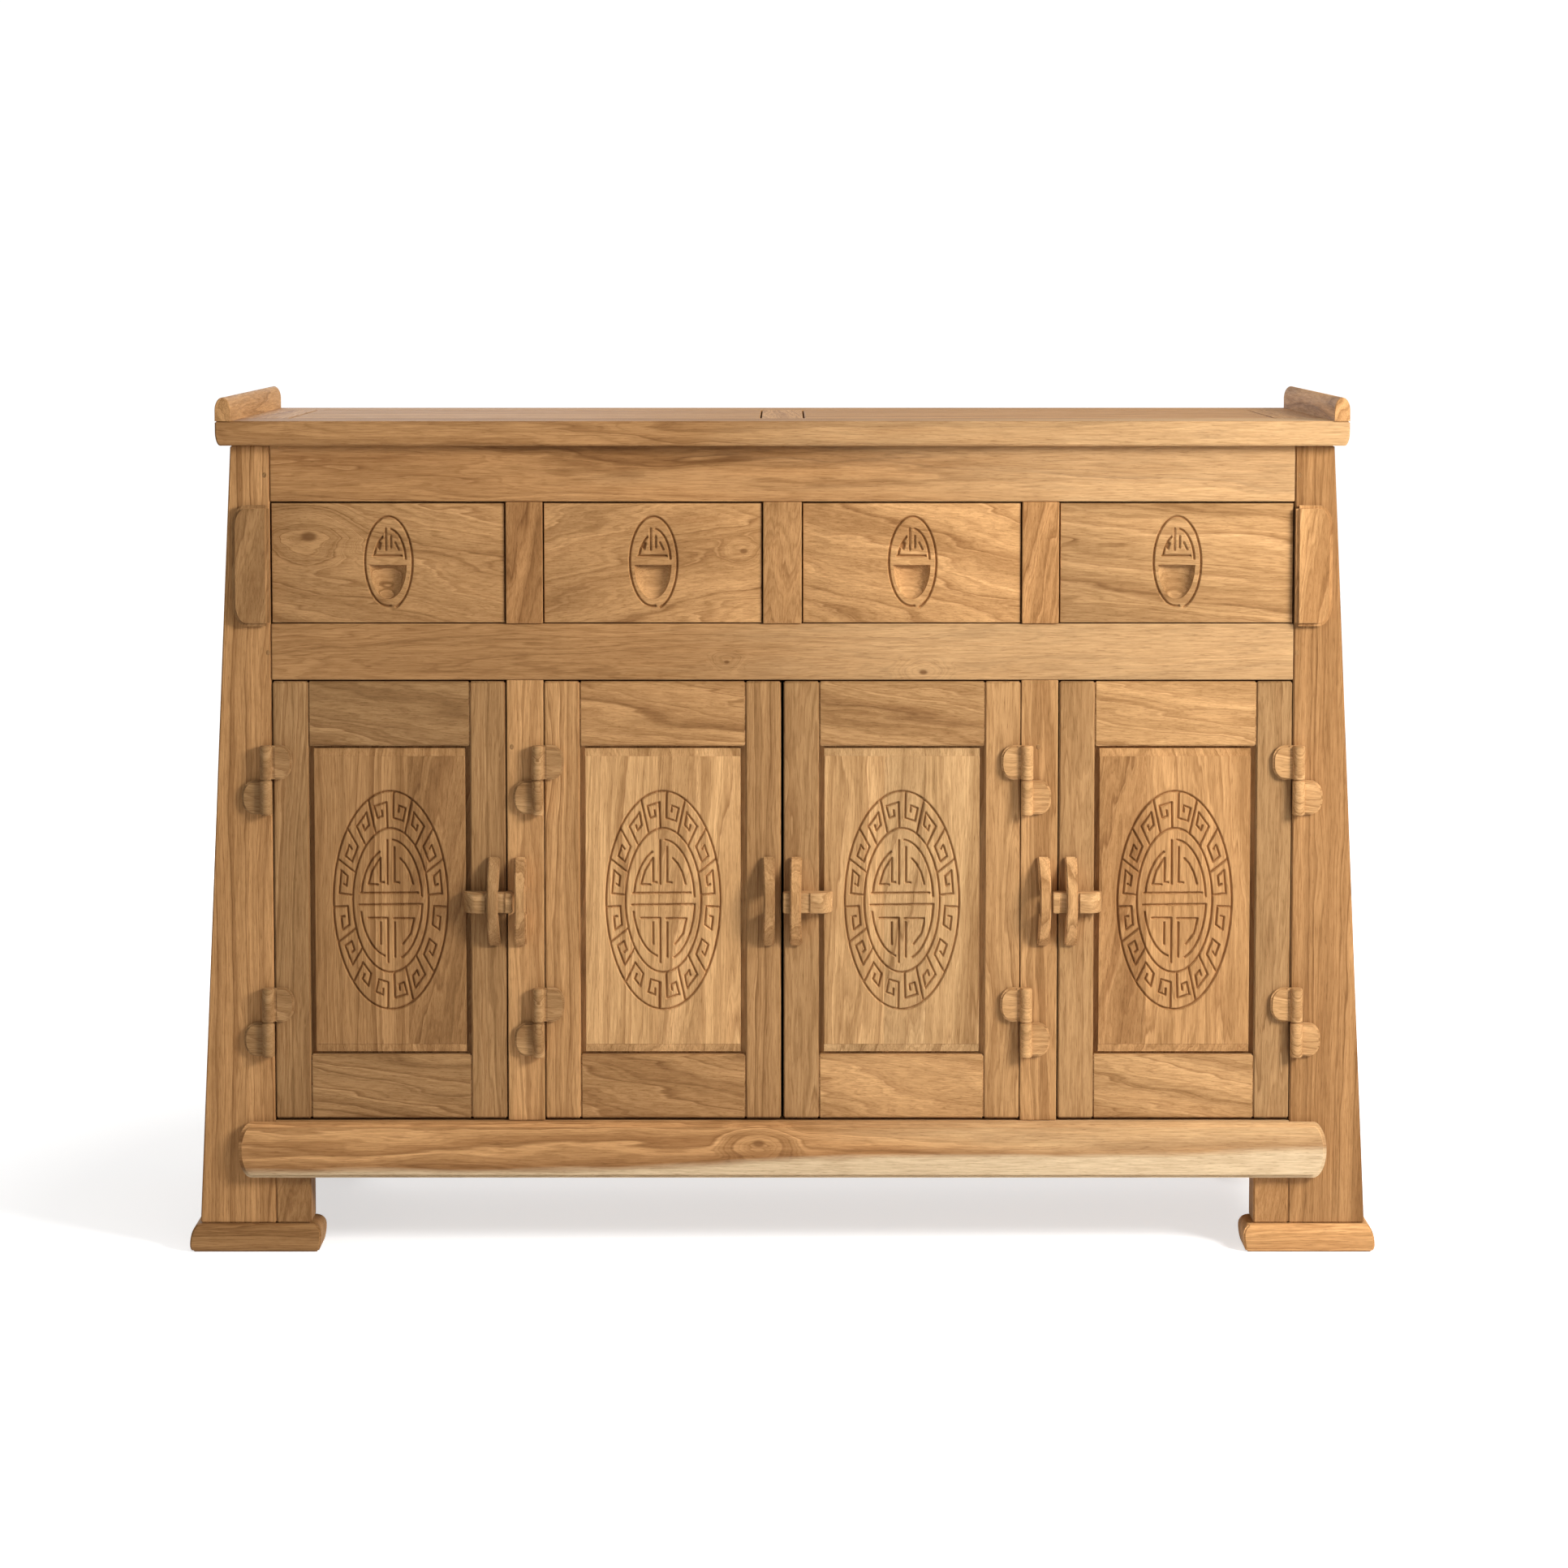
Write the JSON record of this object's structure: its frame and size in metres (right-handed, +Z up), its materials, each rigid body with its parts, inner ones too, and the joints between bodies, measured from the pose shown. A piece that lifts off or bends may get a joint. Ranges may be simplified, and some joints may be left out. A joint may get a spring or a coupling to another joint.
{
  "type": "buffet cabinet",
  "caption": "Teak buffet with a row of drawers over framed doors, wooden pin hinges, sliding wooden latches, splayed posts on moulded feet and everted strips at the ends of its top",
  "frame": {"origin": "on the floor, under the middle of the cabinet's bounding box", "axes": "+X to the right along the front, +Y from the front to the back, +Z up"},
  "size_m": [1.4, 0.456, 1.01],
  "materials": {
    "teak_brown": "waxed teak, satin, browner",
    "teak": "waxed teak, satin",
    "teak_golden": "waxed teak, satin, more golden"
  },
  "bodies": {
    "carcass": {"front_post_left": "teak_brown", "front_post_right": "teak_golden", "back_post_left": "teak_brown", "back_post_right": "teak_golden", "front_foot_left": "teak_brown", "front_foot_right": "teak_golden", "back_foot_left": "teak_brown", "back_foot_right": "teak_golden", "frieze_rail": "teak", "middle_rail": "teak", "bottom_rail": "teak", "drawer_bar_left": "teak_brown", "drawer_bar_centre": "teak", "drawer_bar_right": "teak_golden", "door_post_left": "teak_brown", "door_post_right": "teak_golden", "side_panel_left": "teak_brown", "side_panel_right": "teak_golden", "back_panel": "teak", "cupboard_floor": "teak", "drawer_deck": "teak", "top_frame": "teak", "top_panel_left": "teak_brown", "top_panel_right": "teak_golden", "top_scroll_left": "teak_brown", "top_scroll_right": "teak_golden", "hinge_1_upper": "teak_brown", "hinge_1_lower": "teak_brown", "hinge_2_upper": "teak_brown", "hinge_2_lower": "teak_brown", "hinge_3_upper": "teak_golden", "hinge_3_lower": "teak_golden", "hinge_4_upper": "teak_golden", "hinge_4_lower": "teak_golden", "post_keeper_left": "teak_brown", "post_keeper_right": "teak_golden"},
    "door_1": {"door_1_frame": "teak_brown", "door_1_panel": "teak_brown", "door_1_keeper": "teak_brown"},
    "door_2": {"door_2_frame": "teak_brown", "door_2_panel": "teak_brown", "door_2_keeper": "teak_brown"},
    "door_3": {"door_3_frame": "teak_golden", "door_3_panel": "teak_golden", "door_3_keeper": "teak_golden"},
    "door_4": {"door_4_frame": "teak_golden", "door_4_panel": "teak_golden", "door_4_keeper": "teak_golden"},
    "bolt_left": {"bolt_left": "teak_brown"},
    "bolt_middle": {"bolt_middle": "teak_golden"},
    "bolt_right": {"bolt_right": "teak_golden"},
    "drawer_1": {"drawer_1_front": "teak_brown", "drawer_1_box": "teak_brown"},
    "drawer_2": {"drawer_2_front": "teak_brown", "drawer_2_box": "teak_brown"},
    "drawer_3": {"drawer_3_front": "teak_golden", "drawer_3_box": "teak_golden"},
    "drawer_4": {"drawer_4_front": "teak_golden", "drawer_4_box": "teak_golden"}
  },
  "joints": [
    {"name": "door_1_swing", "type": "hinge", "parent": "carcass", "child": "door_1", "pos_m": [-0.6046, -0.2096, 0.418], "axis": [0, 0, -1], "range_deg": [0, 170]},
    {"name": "door_2_swing", "type": "hinge", "parent": "carcass", "child": "door_2", "pos_m": [-0.2866, -0.2096, 0.418], "axis": [0, 0, -1], "range_deg": [0, 120]},
    {"name": "door_3_swing", "type": "hinge", "parent": "carcass", "child": "door_3", "pos_m": [0.2866, -0.2096, 0.418], "axis": [0, 0, 1], "range_deg": [0, 120]},
    {"name": "door_4_swing", "type": "hinge", "parent": "carcass", "child": "door_4", "pos_m": [0.6046, -0.2096, 0.418], "axis": [0, 0, 1], "range_deg": [0, 170]},
    {"name": "bolt_left_slide", "type": "slide", "parent": "door_1", "child": "bolt_left", "axis": [1, 0, 0], "range_m": [-0.008, 0.016]},
    {"name": "bolt_middle_slide", "type": "slide", "parent": "door_3", "child": "bolt_middle", "axis": [-1, 0, 0], "range_m": [-0.002, 0.023]},
    {"name": "bolt_right_slide", "type": "slide", "parent": "door_4", "child": "bolt_right", "axis": [-1, 0, 0], "range_m": [-0.008, 0.016]},
    {"name": "drawer_1_slide", "type": "slide", "parent": "carcass", "child": "drawer_1", "axis": [0, -1, 0], "range_m": [0, 0.28]},
    {"name": "drawer_2_slide", "type": "slide", "parent": "carcass", "child": "drawer_2", "axis": [0, -1, 0], "range_m": [0, 0.28]},
    {"name": "drawer_3_slide", "type": "slide", "parent": "carcass", "child": "drawer_3", "axis": [0, -1, 0], "range_m": [0, 0.28]},
    {"name": "drawer_4_slide", "type": "slide", "parent": "carcass", "child": "drawer_4", "axis": [0, -1, 0], "range_m": [0, 0.28]}
  ]
}
